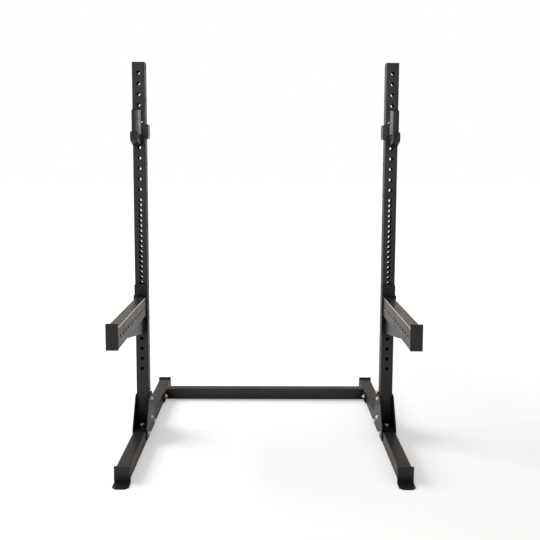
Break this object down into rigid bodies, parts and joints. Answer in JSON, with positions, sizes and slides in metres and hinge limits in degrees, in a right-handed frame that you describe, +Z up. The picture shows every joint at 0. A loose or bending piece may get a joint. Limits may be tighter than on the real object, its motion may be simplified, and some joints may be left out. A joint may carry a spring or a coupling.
{
  "type": "squat stand",
  "caption": "Free-standing squat stand: drilled square uprights on long feet, a low rear cross member, lift-off J-cups and lift-off spotter arms.",
  "frame": {"origin": "on the floor at the middle of the whole stand's footprint; the uprights' centre plane is at y = -0.0435", "axes": "+Z up, +X to the right seen from the front, +Y to the back; the arms and cups point towards -Y"},
  "size_m": [1.2928, 1.467, 1.825],
  "materials": {
    "frame_black": "anthracite-black powder coat with a fine grain, half gloss",
    "arm_black": "anthracite-black powder coat, a little glossier, with pale worn edges",
    "zinc": "bright zinc plating",
    "plug_black": "moulded black plastic, finely grained",
    "liner_grey": "smooth dark grey plastic, polished where the bar rubs"
  },
  "bodies": {
    "stand": {"base_bolt_front_left": "zinc", "base_bolt_front_right": "zinc", "base_bolt_rear_left": "zinc", "base_bolt_rear_right": "zinc", "base_plate_left": "frame_black", "base_plate_right": "frame_black", "cross_bolt_front_left": "zinc", "cross_bolt_front_right": "zinc", "cross_bolt_rear_left": "zinc", "cross_bolt_rear_right": "zinc", "cross_flange_left": "frame_black", "cross_flange_right": "frame_black", "cross_member": "frame_black", "foot_tube_left": "frame_black", "foot_tube_right": "frame_black", "front_end_bracket_left": "frame_black", "front_end_bracket_right": "frame_black", "gusset_bolt_front_left": "zinc", "gusset_bolt_front_right": "zinc", "gusset_bolt_middle_left": "zinc", "gusset_bolt_middle_right": "zinc", "gusset_bolt_rear_left": "zinc", "gusset_bolt_rear_right": "zinc", "gusset_bolt_upper_left": "zinc", "gusset_bolt_upper_right": "zinc", "gusset_inner_left": "frame_black", "gusset_inner_right": "frame_black", "gusset_outer_left": "frame_black", "gusset_outer_right": "frame_black", "rear_end_bracket_left": "frame_black", "rear_end_bracket_right": "frame_black", "top_plug_left": "plug_black", "top_plug_right": "plug_black", "upright_left": "frame_black", "upright_right": "frame_black"},
    "left_cup": {"cup_bracket_left": "frame_black", "cup_side_pad_left": "plug_black", "cup_hook_left": "frame_black", "cup_liner_left": "liner_grey", "cup_peg_left": "zinc"},
    "left_arm": {"arm_bracket_left": "frame_black", "arm_tube_left": "arm_black", "arm_end_plate_left": "frame_black", "arm_gusset_left": "arm_black", "arm_peg_upper_left": "zinc", "arm_peg_lower_left": "zinc"},
    "right_cup": {"cup_bracket_right": "frame_black", "cup_side_pad_right": "plug_black", "cup_hook_right": "frame_black", "cup_liner_right": "liner_grey", "cup_peg_right": "zinc"},
    "right_arm": {"arm_bracket_right": "frame_black", "arm_tube_right": "arm_black", "arm_end_plate_right": "frame_black", "arm_gusset_right": "arm_black", "arm_peg_upper_right": "zinc", "arm_peg_lower_right": "zinc"}
  },
  "joints": [
    {"name": "left_cup_pull", "type": "slide", "parent": "stand", "child": "left_cup", "axis": [0, -1, 0], "range_m": [0, 0.1]},
    {"name": "left_arm_pull", "type": "slide", "parent": "stand", "child": "left_arm", "axis": [0, -1, 0], "range_m": [0, 0.1]},
    {"name": "right_cup_pull", "type": "slide", "parent": "stand", "child": "right_cup", "axis": [0, -1, 0], "range_m": [0, 0.1]},
    {"name": "right_arm_pull", "type": "slide", "parent": "stand", "child": "right_arm", "axis": [0, -1, 0], "range_m": [0, 0.1]}
  ]
}
